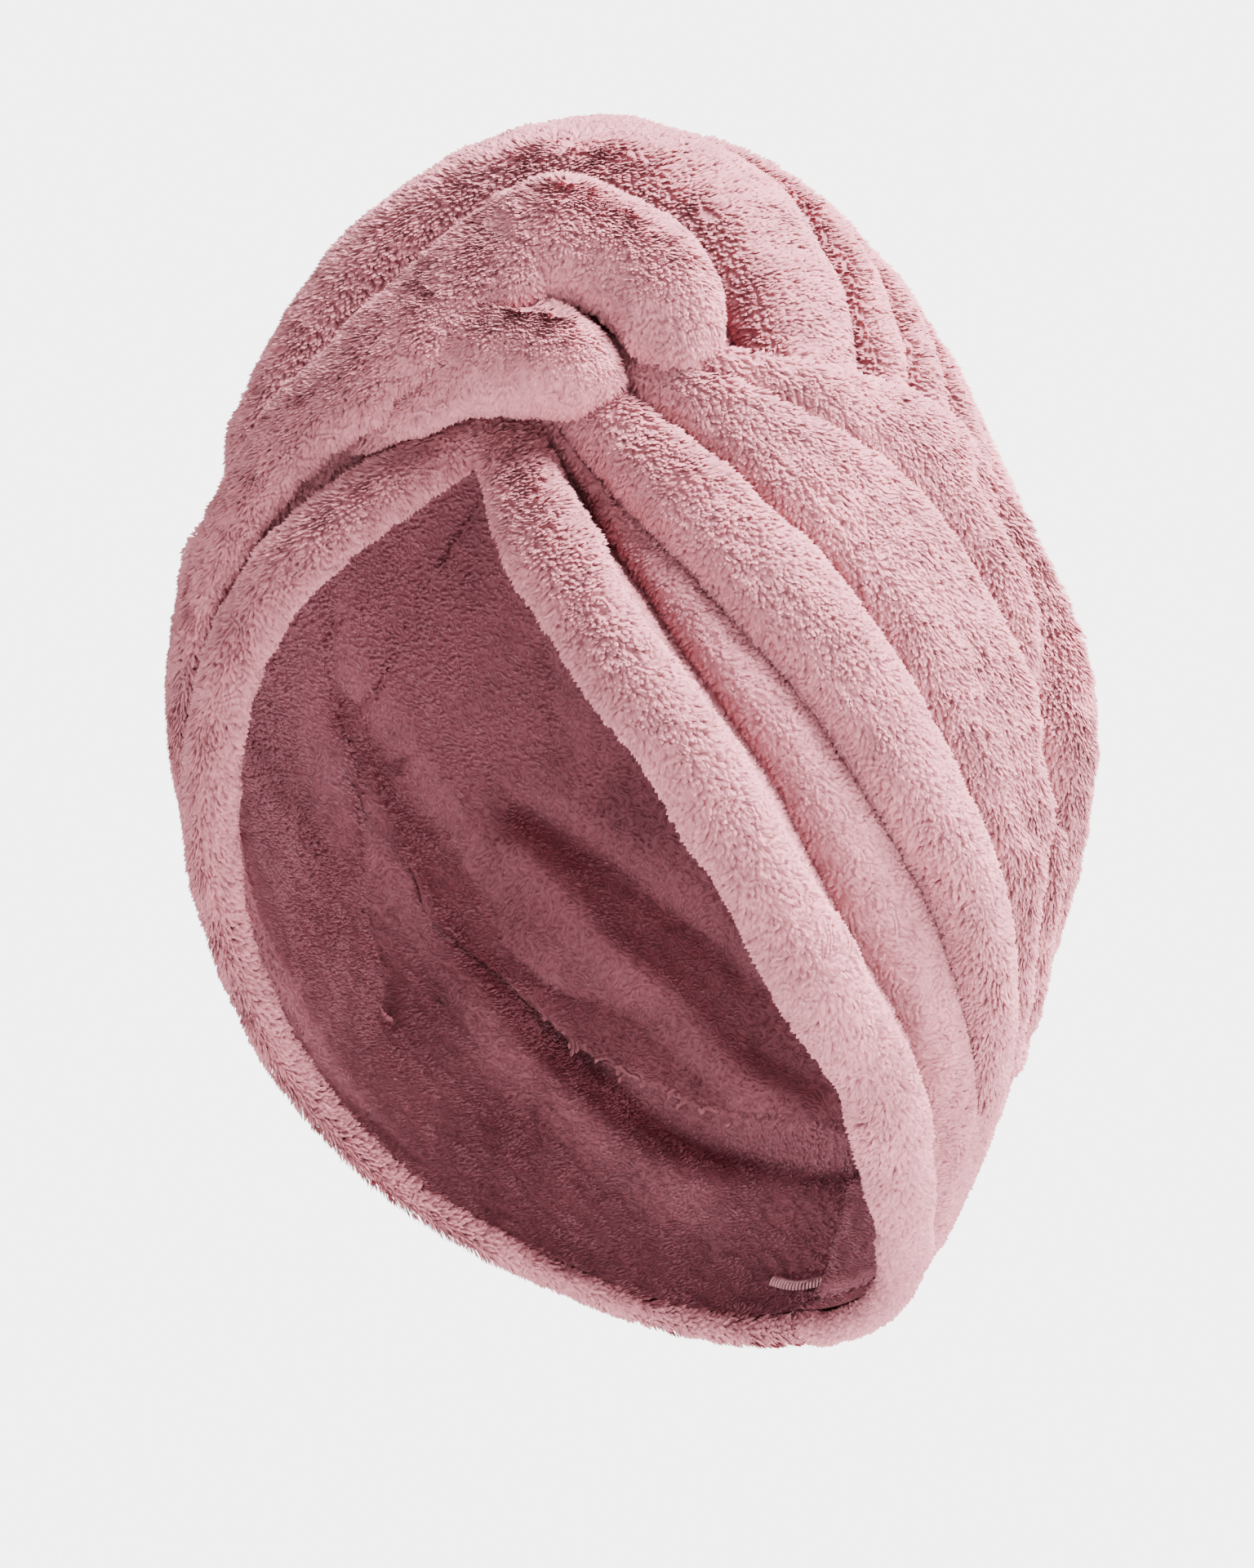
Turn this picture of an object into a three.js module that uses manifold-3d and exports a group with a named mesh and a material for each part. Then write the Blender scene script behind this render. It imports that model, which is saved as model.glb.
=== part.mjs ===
// Hair turban towel, worn form, in millimetres. +Z is up and the face looks toward -Y.
// The origin is the middle of the opening, so every place on the cloth is a direction from it:
// pitch turns from the face (0) over the crown (90) to the back (180) and on to the nape (229),
// lean tips from the middle plane toward the wearer's left (+X, the near side in the photo).
import * as THREE from "three";
import Module from "manifold-3d";

const wasm = await Module();
wasm.setup();

// Driving sizes
const bodyWidth = 184; // side to side, to the tops of the folds
const bodyDepth = 230; // front to back
const bodyHeight = 276; // along the leaning long axis
const bodyTilt = 8; // degrees the long axis leans back
const cloth = 4; // doubled plush
const gap = 0.4; // air between two pieces
const hemWide = 18; // rim roll at its widest, beside the left temple
const foldHigh = 10; // tallest fold of a side wrap, from its valley
const ribHigh = 6; // tallest rib of the crown, from its valley
const rollHigh = 27; // gathered roll over the brow
const knotSink = 18; // how far the cloth is drawn in under the roll
const napeSwell = 16; // how far the cloth stands out at the nape
const earSwell = 6; // how far it stands out behind the ears
const facingDeep = 34; // patch inside the nape

const rad = Math.PI / 180;
const bodyMiddle = new THREE.Vector3(0, -0.022 * bodyDepth, 0.118 * bodyHeight);
const rollLift = 0.17 * hemWide; // clears the hem and the first folds

// Rim of the opening from the knot down to the nape.
// wideNear and wideFar are the hem's width as shares of hemWide.
const rimColumns = ["pitch", "leanNear", "leanFar", "wideNear", "wideFar"];
const rim = [
  [42, 7.1, 6.9, 0.6, 0.6],
  [36, 11.5, 0.5, 0.85, 0.8],
  [28, 16.5, -8.5, 1, 0.86],
  [15.5, 26, -23.5, 1, 0.8],
  [-6, 41, -41, 1, 0.66],
  [-43, 51, -51, 0.98, 0.52],
  [-73, 50, -50, 0.92, 0.46],
  [-98, 40, -40, 0.82, 0.42],
  [-115, 27, -27, 0.66, 0.4],
  [-125, 13, -13, 0.5, 0.38],
  [-129, 0.1, -0.1, 0.38, 0.38],
];

// Upper edge of each side wrap at the same stations.
const edgeColumns = ["pitchNear", "leanNear", "pitchFar", "leanFar"];
const edge = [
  [54, 12.6, 54, 12.4],
  [53, 25, 46, -7],
  [57, 31, 38, -14],
  [66, 37, 37, -25],
  [82, 43, 45, -38],
  [106, 56, 66, -50],
  [134, 62, 104, -60],
  [162, 62, 150, -62],
  [184, 52, 182, -53],
  [198, 30, 198, -30],
  [202, 0.1, 202, -0.1],
];

// Folds of a side wrap. Each runs between two valleys, whose places across the wrap are given
// beside the knot and beside the ear; high is a share of foldHigh.
const foldColumns = ["lowKnot", "highKnot", "lowEar", "highEar", "high"];
const folds = [
  [0.12, 0.19, 0.06, 0.28, 0.35],
  [0.19, 0.57, 0.28, 0.46, 1],
  [0.57, 0.82, 0.46, 0.78, 0.8],
  [0.82, 1, 0.78, 1, 0.5],
];

// Valleys between the crown's ribs, from the roll to the nape: where each one slips under the
// near wrap, crosses the middle and slips under the far wrap. rib is the share of ribHigh that
// the cloth rises to before the next valley.
const ribColumns = ["pitchNear", "leanNear", "pitchMiddle", "leanMiddle", "pitchFar", "leanFar", "rib"];
const ribs = [
  [48, 29, 47, 8, 32, -15, 1],
  [57, 40, 74, 6, 35, -37, 0.9],
  [66, 44, 80, 5, 52, -53, 0.8],
  [75, 48, 86, 4, 76, -62, 0.7],
  [90, 53, 94, 3, 102, -67, 0.6],
  [112, 63, 112, 1, 130, -69, 0.4],
  [140, 69, 138, 0, 153, -67, 0.2],
  [172, 65, 172, 0, 175, -64, 0.1],
  [198, 40, 205, 0, 198, -40, 0],
];

// Roll over the brow, from its curled end beside the left temple down the far side.
// high is a share of rollHigh and split says how deeply it parts in two lobes.
const rollColumns = ["pitchLow", "leanLow", "pitchTop", "leanTop", "high", "split"];
const roll = [
  [47.5, 22.5, 53.5, 25.5, 0.45, 0.2],
  [44.5, 18, 55.5, 21, 0.82, 0.5],
  [42, 12, 55, 15.5, 1, 0.35],
  [40, 5, 53.5, 9, 0.98, 0.18],
  [37.5, -2, 49.5, 1, 0.85, 0.08],
  [34.5, -8, 44, -7, 0.64, 0],
  [30.5, -14, 38, -13, 0.42, 0],
  [24.5, -21.5, 32.5, -21, 0.26, 0],
  [13, -33.5, 28, -33, 0.16, 0],
  [1, -46, 22, -45, 0.1, 0],
];

// Values of a table's columns at a place between its rows, on a smooth curve through them.
function at(table, columns, place) {
  const last = table.length - 1;
  const row = Math.min(Math.floor(place), last - 1);
  const t = place - row;
  const found = {};
  columns.forEach((name, c) => {
    const p1 = table[row][c];
    const p2 = table[row + 1][c];
    const p0 = row > 0 ? table[row - 1][c] : 2 * p1 - p2;
    const p3 = row < last - 1 ? table[row + 2][c] : 2 * p2 - p1;
    const bend = 2 * p0 - 5 * p1 + 4 * p2 - p3;
    const twist = 3 * (p1 - p2) + p3 - p0;
    found[name] = p1 + 0.5 * t * (p2 - p0 + t * (bend + t * twist));
  });
  return found;
}

function direction(pitch, lean) {
  const level = Math.cos(lean * rad);
  return new THREE.Vector3(
    Math.sin(lean * rad),
    -level * Math.cos(pitch * rad),
    level * Math.sin(pitch * rad),
  );
}

// The direction a share of the way along the great circle from one to another.
function between(from, to, share) {
  const turn = new THREE.Quaternion().setFromUnitVectors(from, to);
  const part = new THREE.Quaternion().slerp(turn, share);
  return from.clone().applyQuaternion(part);
}

const ease = (from, to, x) => THREE.MathUtils.smoothstep(x, from, to);
const bell = (x) => Math.exp(-x * x);
const arch = (share) => Math.sin(Math.PI * THREE.MathUtils.clamp(share, 0, 1));

const knotWay = direction(40, 7);
const napeWay = direction(-129, 0);
const earWays = [direction(132, 64), direction(150, -60)];

// Distance from the origin to the leaning ellipsoid that the wearer's head and hair fill.
function bodyRadius(way) {
  const axis = new THREE.Vector3(1, 0, 0);
  const scale = new THREE.Vector3(bodyWidth / 2, bodyDepth / 2, bodyHeight / 2);
  const w = way.clone().applyAxisAngle(axis, -bodyTilt * rad).divide(scale);
  const m = bodyMiddle.clone().applyAxisAngle(axis, -bodyTilt * rad).divide(scale);
  const a = w.lengthSq();
  const b = w.dot(m);
  return (b + Math.sqrt(b * b - a * (m.lengthSq() - 1))) / a;
}

// Distance to the outside of the wraps before they fold.
function clothRadius(way) {
  const sink = knotSink * bell(way.angleTo(knotWay) / (20 * rad));
  const nape = napeSwell * bell(way.angleTo(napeWay) / (25 * rad));
  let ears = 0;
  for (const earWay of earWays) ears += earSwell * bell(way.angleTo(earWay) / (26 * rad));
  return bodyRadius(way) - sink + nape + ears;
}

// A closed geometry from points and faces, turned so that its faces look out.
function closed(points, faces) {
  let volume = 0;
  for (const [a, b, c] of faces) {
    volume += points[a].dot(points[b].clone().cross(points[c]));
  }
  const order = volume > 0 ? faces : faces.map(([a, b, c]) => [a, c, b]);
  const geometry = new THREE.BufferGeometry().setFromPoints(points);
  geometry.setIndex(order.flat());
  return geometry;
}

// A sheet of cloth over a grid. place(i, j) gives its way from the origin and the distances
// to its outer and inner faces; the edges are rounded off by a share of the thickness.
function sheet(rows, columns, place, round = 0.3) {
  const outer = [];
  const inner = [];
  for (let i = 0; i < rows; i += 1) {
    for (let j = 0; j < columns; j += 1) {
      const p = place(i, j);
      const onEdge = i === 0 || j === 0 || i === rows - 1 || j === columns - 1;
      const trim = onEdge ? Math.min(cloth, p.outer - p.inner) * round : 0;
      outer.push(p.way.clone().multiplyScalar(p.outer - trim));
      inner.push(p.way.clone().multiplyScalar(p.inner + trim));
    }
  }
  const count = rows * columns;
  const faces = [];
  const quad = (a, b, c, d) => faces.push([a, b, c], [a, c, d]);
  for (let i = 0; i + 1 < rows; i += 1) {
    for (let j = 0; j + 1 < columns; j += 1) {
      const a = i * columns + j;
      quad(a, a + columns, a + columns + 1, a + 1);
      quad(count + a, count + a + 1, count + a + columns + 1, count + a + columns);
    }
  }
  for (let j = 0; j + 1 < columns; j += 1) {
    const b = (rows - 1) * columns + j;
    quad(j, j + 1, count + j + 1, count + j);
    quad(b + 1, b, count + b, count + b + 1);
  }
  for (let i = 0; i + 1 < rows; i += 1) {
    const a = i * columns;
    const b = a + columns - 1;
    quad(a + columns, a, count + a, count + a + columns);
    quad(b, b + columns, count + b + columns, count + b);
  }
  return closed([...outer, ...inner], faces);
}

// Stations from the knot to the nape, closer together round the tight bend at the knot.
const stations = [0, 0.35, 0.7, 1, 1.35, 1.7, 2, 2.3, 2.65, 3, 3.3, 3.65, 4, 4.3, 4.65, 5];
for (let u = 5.35; u < 9.7; u += 0.33) stations.push(u);
stations.push(9.75, 10);

function rimPlace(side, u) {
  const r = at(rim, rimColumns, u);
  const lean = side > 0 ? r.leanNear : r.leanFar;
  const wide = side > 0 ? r.wideNear : r.wideFar;
  return { way: direction(r.pitch, lean), half: 0.5 * hemWide * wide };
}

function edgeWay(side, u) {
  const e = at(edge, edgeColumns, u);
  return side > 0 ? direction(e.pitchNear, e.leanNear) : direction(e.pitchFar, e.leanFar);
}

// Where a side wrap starts beside the hem: square to the rim, a gap away from the roll.
function wrapStart(side, u) {
  const here = rimPlace(side, u);
  const step = 0.05;
  const before = rimPlace(side, Math.max(u - step, 0)).way;
  const after = rimPlace(side, Math.min(u + step, 10)).way;
  const along = after.clone().sub(before).normalize();
  if (u === 0) along.set(side, 0, 0);
  if (u === 10) along.set(-side, 0, 0);
  const across = along.cross(here.way).multiplyScalar(-side).normalize();
  const turn = (here.half + gap) / clothRadius(here.way);
  return here.way.clone().multiplyScalar(Math.cos(turn)).addScaledVector(across, Math.sin(turn));
}

// How far the outside of a side wrap stands above or below the cloth: each fold rises from a
// valley that is drawn in, and the upper edge lies flat on the crown.
function wrapFold(u, v) {
  const ear = THREE.MathUtils.clamp((u - 1) / 4, 0, 1);
  const strong = ease(0.7, 2.2, u) * (1 - ease(3.6, 7.6, u));
  let high = 0;
  for (const row of folds) {
    const [lowKnot, highKnot, lowEar, highEar, share] = row;
    const low = THREE.MathUtils.lerp(lowKnot, lowEar, ear);
    const top = THREE.MathUtils.lerp(highKnot, highEar, ear);
    if (v > low && v < top) high = share * Math.pow(arch((v - low) / (top - low)), 0.8);
  }
  return foldHigh * strong * (high - 0.45 * (1 - ease(0.6, 0.82, v)));
}

function wrapPlace(side, u, v) {
  const way = between(wrapStart(side, u), edgeWay(side, u), v);
  const radius = clothRadius(way);
  const fold = wrapFold(u, v) * (side > 0 ? 1 : 0.7);
  return { way, outer: radius + fold, inner: radius - cloth + Math.min(fold, 0.4 * fold) };
}

const acrossNear = [0, 0.05, 0.1, 0.14, 0.18, 0.22, 0.26, 0.3, 0.34, 0.38, 0.42, 0.46, 0.5, 0.55];
acrossNear.push(0.6, 0.66, 0.72, 0.78, 0.84, 0.9, 0.96, 1);
const acrossFar = [0, 0.06, 0.14, 0.2, 0.26, 0.32, 0.38, 0.44, 0.5, 0.58, 0.66, 0.74, 0.8, 0.87, 0.94, 1];

function sideWrap(side, across) {
  return sheet(stations.length, across.length, (i, j) => wrapPlace(side, stations[i], across[j]));
}

// Crown: ribs are the rows, each cut in steps, and q runs from the far edge to the near one.
const ribSteps = 5;
const crownColumns = 19;

function crownPlace(place, q) {
  const r = at(ribs, ribColumns, place);
  const near = direction(r.pitchNear, r.leanNear);
  const middle = direction(r.pitchMiddle, r.leanMiddle);
  const far = direction(r.pitchFar, r.leanFar);
  const way = near
    .multiplyScalar(0.5 * q * (q + 1))
    .addScaledVector(middle, 1 - q * q)
    .addScaledVector(far, 0.5 * q * (q - 1))
    .normalize();
  const last = ribs.length - 1;
  const open = 1 - ease(0.64, 0.82, Math.abs(q));
  const show = open * ease(0.25, 0.75, place) * (1 - ease(last - 0.9, last - 0.3, place));
  const row = Math.min(Math.floor(place), last - 1);
  const high = ribs[row][6] * Math.pow(arch(place - row), 0.8);
  const radius = clothRadius(way) - cloth - gap - 0.5 * show * ribHigh;
  const rise = 1.25 * show * ribHigh * high;
  return { way, outer: radius + rise, inner: radius - cloth + 0.4 * rise };
}

function crown() {
  const rows = (ribs.length - 1) * ribSteps + 1;
  return sheet(rows, crownColumns, (i, j) => {
    return crownPlace(i / ribSteps, (2 * j) / (crownColumns - 1) - 1);
  });
}

// Roll over the brow. It rides over the hem, the crown and the near wrap, and sinks into the
// far wrap, with which it is one cloth.
function browRoll() {
  const rows = 28;
  const columns = 13;
  return sheet(rows, columns, (i, j) => {
    const place = (i * (roll.length - 1)) / (rows - 1);
    const r = at(roll, rollColumns, place);
    const v = j / (columns - 1);
    const way = between(direction(r.pitchLow, r.leanLow), direction(r.pitchTop, r.leanTop), v);
    const lift = THREE.MathUtils.lerp(rollLift, -0.25 * cloth, ease(4.4, 6, place));
    const base = clothRadius(way) + lift;
    const tip = Math.sqrt(Math.min(place / 1.2, 1)) * 0.5 + 0.5;
    const round = Math.pow(arch(0.08 + 0.84 * v), 0.6);
    const crease = 1 - r.split * bell((v - 0.5) / 0.16);
    return { way, outer: base + rollHigh * r.high * round * crease * tip, inner: base };
  });
}

// Hem: a roll of cloth swept once round the opening.
function hem() {
  const ring = 10;
  const far = stations.slice(1, -1).reverse();
  const stops = [...stations.map((u) => [1, u]), ...far.map((u) => [-1, u])];
  const places = stops.map(([side, u]) => rimPlace(side, u));
  const points = [];
  const faces = [];
  const count = places.length;
  places.forEach(({ way, half }, i) => {
    const before = places[(i + count - 1) % count].way;
    const after = places[(i + 1) % count].way;
    const across = after.clone().sub(before).cross(way).normalize();
    const thick = Math.max(0.72 * half, 0.65 * cloth);
    const middle = way.clone().multiplyScalar(clothRadius(way) - 0.5 * cloth);
    for (let k = 0; k < ring; k += 1) {
      const turn = ((k + 0.5) * 2 * Math.PI) / ring;
      const point = middle.clone();
      point.addScaledVector(across, half * Math.cos(turn));
      point.addScaledVector(way, thick * Math.sin(turn));
      points.push(point);
      const a = i * ring + k;
      const b = i * ring + ((k + 1) % ring);
      const c = ((i + 1) % count) * ring + ((k + 1) % ring);
      const d = ((i + 1) % count) * ring + k;
      faces.push([a, b, c], [a, c, d]);
    }
  });
  return closed(points, faces);
}

// Patch inside the nape, on the near side of the back seam.
function napeFacing() {
  const rows = 11;
  const columns = 6;
  return sheet(rows, columns, (i, j) => {
    const u = 7.6 + (2.3 * i) / (rows - 1);
    const start = wrapStart(1, u);
    const arc = start.angleTo(edgeWay(1, u)) * clothRadius(start);
    const way = between(start, edgeWay(1, u), (0.4 * cloth + (facingDeep * j) / (columns - 1)) / arc);
    const outer = clothRadius(way) - cloth - gap;
    return { way, outer, inner: outer - 0.6 * cloth };
  });
}

function solid(geometry) {
  const vertProperties = new Float32Array(geometry.getAttribute("position").array);
  const triVerts = new Uint32Array(geometry.index.array);
  return new wasm.Manifold(new wasm.Mesh({ numProp: 3, vertProperties, triVerts }));
}

function joined(first, second) {
  const made = wasm.Manifold.union([solid(first), solid(second)]).getMesh();
  const geometry = new THREE.BufferGeometry();
  geometry.setAttribute("position", new THREE.BufferAttribute(new Float32Array(made.vertProperties), 3));
  geometry.setIndex(new THREE.BufferAttribute(new Uint32Array(made.triVerts), 1));
  return geometry;
}

const part = new THREE.Group();

function add(name, geometry, colour) {
  const material = new THREE.MeshStandardMaterial({ color: colour, roughness: 0.95 });
  material.name = name + "_cloth";
  const mesh = new THREE.Mesh(geometry, material);
  mesh.name = name;
  part.add(mesh);
}

add("crown", crown(), 0xd59ba3);
add("near_wrap", sideWrap(1, acrossNear), 0xe0a9b0);
add("far_wrap", joined(sideWrap(-1, acrossFar), browRoll()), 0xe3adb4);
add("rim_hem", hem(), 0xe8b6bd);
add("nape_facing", napeFacing(), 0xb5717b);

export default part;
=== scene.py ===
# %% [markdown]
# # A hair turban towel in plush
# This lesson builds a pink plush turban towel as it looks when it is worn, with no head inside.
# The measured model comes first: it says how big the towel is and where each piece lies. We
# then make every piece again with soft folds and a pile, and check that it stays in place.
# Everything is in metres, the face looks toward -Y, and up is +Z.

import math

import bpy
import numpy as np
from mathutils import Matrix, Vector


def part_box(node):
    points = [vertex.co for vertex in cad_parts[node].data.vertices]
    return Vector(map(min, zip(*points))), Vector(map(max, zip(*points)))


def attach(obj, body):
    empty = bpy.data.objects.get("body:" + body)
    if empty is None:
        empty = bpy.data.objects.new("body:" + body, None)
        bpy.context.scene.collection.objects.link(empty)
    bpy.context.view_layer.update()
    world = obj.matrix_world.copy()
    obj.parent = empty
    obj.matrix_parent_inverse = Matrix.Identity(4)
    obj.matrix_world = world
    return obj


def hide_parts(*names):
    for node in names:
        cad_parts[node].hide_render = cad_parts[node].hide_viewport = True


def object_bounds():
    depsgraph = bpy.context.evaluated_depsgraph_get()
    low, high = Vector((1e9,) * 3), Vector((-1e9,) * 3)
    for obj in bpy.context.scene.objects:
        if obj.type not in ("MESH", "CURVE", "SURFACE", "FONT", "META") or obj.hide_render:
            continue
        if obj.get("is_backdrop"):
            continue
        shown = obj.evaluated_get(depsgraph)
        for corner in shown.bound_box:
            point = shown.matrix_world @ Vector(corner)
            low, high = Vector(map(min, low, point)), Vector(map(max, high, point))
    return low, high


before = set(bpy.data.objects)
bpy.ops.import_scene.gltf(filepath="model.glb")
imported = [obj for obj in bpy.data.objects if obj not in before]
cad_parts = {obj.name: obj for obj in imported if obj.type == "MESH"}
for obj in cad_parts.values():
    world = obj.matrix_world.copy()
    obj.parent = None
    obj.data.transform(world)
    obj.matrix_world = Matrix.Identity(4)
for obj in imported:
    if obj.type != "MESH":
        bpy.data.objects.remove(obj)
cad_box = [[float(x) for x in corner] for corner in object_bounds()]
print("the measured model's box:", cad_box)
for name in sorted(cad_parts):
    low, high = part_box(name)
    print(name, [round(1000 * (h - l)) for l, h in zip(low, high)], "mm")

# %% [markdown]
# ## Directions instead of coordinates
# Cloth that is wrapped round a head is easiest to describe as seen from inside the head. We
# stand at the middle of the opening and look out. *Pitch* turns from the face (0 degrees) over
# the crown (90) to the back (180), and *lean* tips toward the wearer's left. Each spot of cloth
# is then a direction and a distance, and a fold is only a change of the distance.

# %% Directions, and curves through a short table
def direction(pitch, lean):
    p, l = np.radians(pitch), np.radians(lean)
    return np.stack([np.sin(l), -np.cos(l) * np.cos(p), np.cos(l) * np.sin(p)], -1)


def curve(table, place):
    """The columns of a table at places between its rows, on a smooth curve through them."""
    table = np.asarray(table, float)
    last = len(table) - 1
    row = np.clip(np.floor(place).astype(int), 0, last - 1)
    t = (place - row)[..., None]
    p1, p2 = table[row], table[row + 1]
    p0 = np.where((row > 0)[..., None], table[np.maximum(row - 1, 0)], 2 * p1 - p2)
    p3 = np.where((row < last - 1)[..., None], table[np.minimum(row + 2, last)], 2 * p2 - p1)
    bend = 2 * p0 - 5 * p1 + 4 * p2 - p3
    twist = 3 * (p1 - p2) + p3 - p0
    return p1 + 0.5 * t * (p2 - p0 + t * (bend + t * twist))


def unit(v):
    return v / np.maximum(np.linalg.norm(v, axis=-1, keepdims=True), 1e-12)


def between(start, end, share):
    """Along the great circle from one direction to another."""
    turn = np.arccos(np.clip((start * end).sum(-1, keepdims=True), -1, 1))
    s = np.asarray(share)[..., None]
    return (np.sin((1 - s) * turn) * start + np.sin(s * turn) * end) / np.sin(turn)


def ease(low, high, x):
    """A soft step from 0 to 1."""
    t = np.clip((x - low) / (high - low), 0, 1)
    return t * t * (3 - 2 * t)


def bell(x):
    return np.exp(-x * x)


print("straight ahead is", direction(0, 0), "and straight up is", direction(90, 0).round(3))

# %% [markdown]
# ## The form under the cloth
# A head with hair wound up on it is close to an egg that leans back. We take an ellipsoid, draw
# it in where the towel is knotted over the brow, and let it swell behind the ears and at the
# nape. A swell made with a bell curve has no edge, which is how cloth eases over a bump.

# %% Distance from the middle to the cloth
WIDTH, DEPTH, HEIGHT, TILT = 184.0, 230.0, 276.0, 8.0  # millimetres and degrees
CLOTH, GAP, HEM = 4.0, 0.4, 18.0
PILE, BACKING = 2.0, 0.8
KNOT_SINK, NAPE_SWELL, EAR_SWELL = 18.0, 16.0, 6.0
KNOT_WIDE, NAPE_WIDE, EAR_WIDE = 20, 25, 26  # degrees from the middle of each
MIDDLE = np.array([0, -0.022 * DEPTH, 0.118 * HEIGHT])
KNOT, NAPE = direction(40, 7), direction(-129, 0)
EARS = [direction(132, 64), direction(150, -60)]


def angle(way, other):
    return np.degrees(np.arccos(np.clip(way @ other, -1, 1)))


def leaned(v):
    """A vector in the egg's own leaning axes, as shares of its half sizes."""
    c, s = math.cos(math.radians(TILT)), math.sin(math.radians(TILT))
    x, y, z = v[..., 0], v[..., 1], v[..., 2]
    deep, high = y * c + z * s, z * c - y * s
    return np.stack([x / (WIDTH / 2), deep / (DEPTH / 2), high / (HEIGHT / 2)], -1)


def cloth_radius(way):
    """Millimetres from the origin to the backing of the cloth, under its outer pile."""
    w, m = leaned(way), leaned(MIDDLE)
    a, b = (w * w).sum(-1), (w * m).sum(-1)
    body = (b + np.sqrt(b * b - a * ((m * m).sum() - 1))) / a
    swell = NAPE_SWELL * bell(angle(way, NAPE) / NAPE_WIDE)
    for ear in EARS:
        swell = swell + EAR_SWELL * bell(angle(way, ear) / EAR_WIDE)
    return body - KNOT_SINK * bell(angle(way, KNOT) / KNOT_WIDE) + swell - PILE


for label, way in [("brow", (45, 0)), ("crown", (90, 0)), ("back", (180, 0)), ("nape", (-129, 0))]:
    print(f"{label}: {float(cloth_radius(direction(*way))):.0f} mm from the middle")

# %% [markdown]
# ## The rim and the edges of the side wraps
# Two lines carry the whole towel: the rim of the head opening, and the upper edge of the cloth
# that is wrapped round each side. Both run from the knot to the nape in ten steps, so row 0 is
# the knot and row 10 is the nape on either side. The numbers are pitch and lean in degrees.

# %% Rim and edge tables
# pitch, lean on the near side, lean on the far side, hem width near and far as shares of HEM
RIM = [
    [42, 7.1, 6.9, 0.6, 0.6],
    [36, 11.5, 0.5, 0.85, 0.8],
    [28, 16.5, -8.5, 1, 0.86],
    [15.5, 26, -23.5, 1, 0.8],
    [-6, 41, -41, 1, 0.66],
    [-43, 51, -51, 0.98, 0.52],
    [-73, 50, -50, 0.92, 0.46],
    [-98, 40, -40, 0.82, 0.42],
    [-115, 27, -27, 0.66, 0.4],
    [-125, 13, -13, 0.5, 0.38],
    [-129, 0.1, -0.1, 0.38, 0.38],
]
# pitch and lean on the near side, pitch and lean on the far side
EDGE = [
    [54, 12.6, 54, 12.4],
    [53, 25, 46, -7],
    [57, 31, 38, -14],
    [66, 37, 37, -25],
    [82, 43, 45, -38],
    [106, 56, 66, -50],
    [134, 62, 104, -60],
    [162, 62, 150, -62],
    [184, 52, 182, -53],
    [198, 30, 198, -30],
    [202, 0.1, 202, -0.1],
]


def rim_way(side, u):
    r = curve(RIM, u)
    return direction(r[..., 0], r[..., 1 if side > 0 else 2])


def rim_half(side, u):
    return 0.5 * HEM * curve(RIM, u)[..., 3 if side > 0 else 4]


def edge_way(side, u):
    e = curve(EDGE, u)
    return direction(e[..., 0], e[..., 1]) if side > 0 else direction(e[..., 2], e[..., 3])


def wrap_start(side, u):
    """Where a side wrap leaves the hem, square to the rim."""
    here = rim_way(side, u)
    along = unit(rim_way(side, np.minimum(u + 0.05, 10)) - rim_way(side, np.maximum(u - 0.05, 0)))
    along = np.where((u <= 0)[..., None], [side, 0.0, 0.0], along)
    along = np.where((u >= 10)[..., None], [-side, 0.0, 0.0], along)
    across = unit(np.cross(along, here)) * -side
    turn = ((rim_half(side, u) + GAP) / cloth_radius(here))[..., None]
    return here * np.cos(turn) + across * np.sin(turn)


stops = np.linspace(0, 10, 201)
line = rim_way(1, stops) * cloth_radius(rim_way(1, stops))[:, None]
print(f"half the rim is {np.linalg.norm(np.diff(line, axis=0), axis=1).sum():.0f} mm long")

# %% [markdown]
# ## A sheet of points, and a pile on it
# Every surface here is a grid of points. From the grid we get what a pile needs: the direction
# that faces out, the direction in which the nap is brushed, and the area of each small cell, so
# that the locks can be dealt out evenly.
#
# A real plush towel has thousands of loops that are cut and split in fine threads, and they
# cling together in little pointed locks. We make each lock as a leaf of only two triangles,
# because it is a few pixels wide, and so we can afford four hundred thousand of them. A flat
# leaf would flash like a mirror or go dark as a whole. So its corners carry normals of their
# own, which fan out as they would on a round strand, and the leaf is shaded as if it were one.

# %% Grids, normals and a gentle disorder
def grid_frame(points):
    """Outward normals of a grid, with the directions along its rows and columns."""
    down = np.gradient(points, axis=0)
    over = np.gradient(points, axis=1)
    normal = unit(np.cross(down, over))
    outward = np.sign((normal * unit(points)).sum(-1).mean())
    return normal * outward, unit(down), unit(over)


def waves(points, size, seed):
    """A smooth random field between about -1 and 1, from a few sine waves of one size."""
    rng = np.random.default_rng(seed)
    total = np.zeros(points.shape[:-1])
    for _ in range(7):
        way = rng.normal(size=3)
        way *= 2 * np.pi / (size * rng.uniform(0.7, 1.5) * np.linalg.norm(way))
        total += np.sin(points @ way + rng.uniform(0, 2 * np.pi))
    return total / 2.6


# length and width of a lock in millimetres, and how far it leans from upright along the nap
LONG_LOCK = (3.4, 1.25, 1.25)
ROLL_LOCK = (3.4, 1.25, 1.15)
SHORT_LOCK = (1.9, 0.8, 0.8)
FACING_LOCK = (1.8, 0.8, 0.8)
SWIRL_SIZE, CLUMP_SIZE = 12, 4.2  # millimetres
ROOT_SUNK, BELLY_AT, BELLY_HIGH = 0.12, 0.72, 0.66  # shares of the lock's length and height
ROUND = 0.9  # how far the normals of the two edges turn apart


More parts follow.
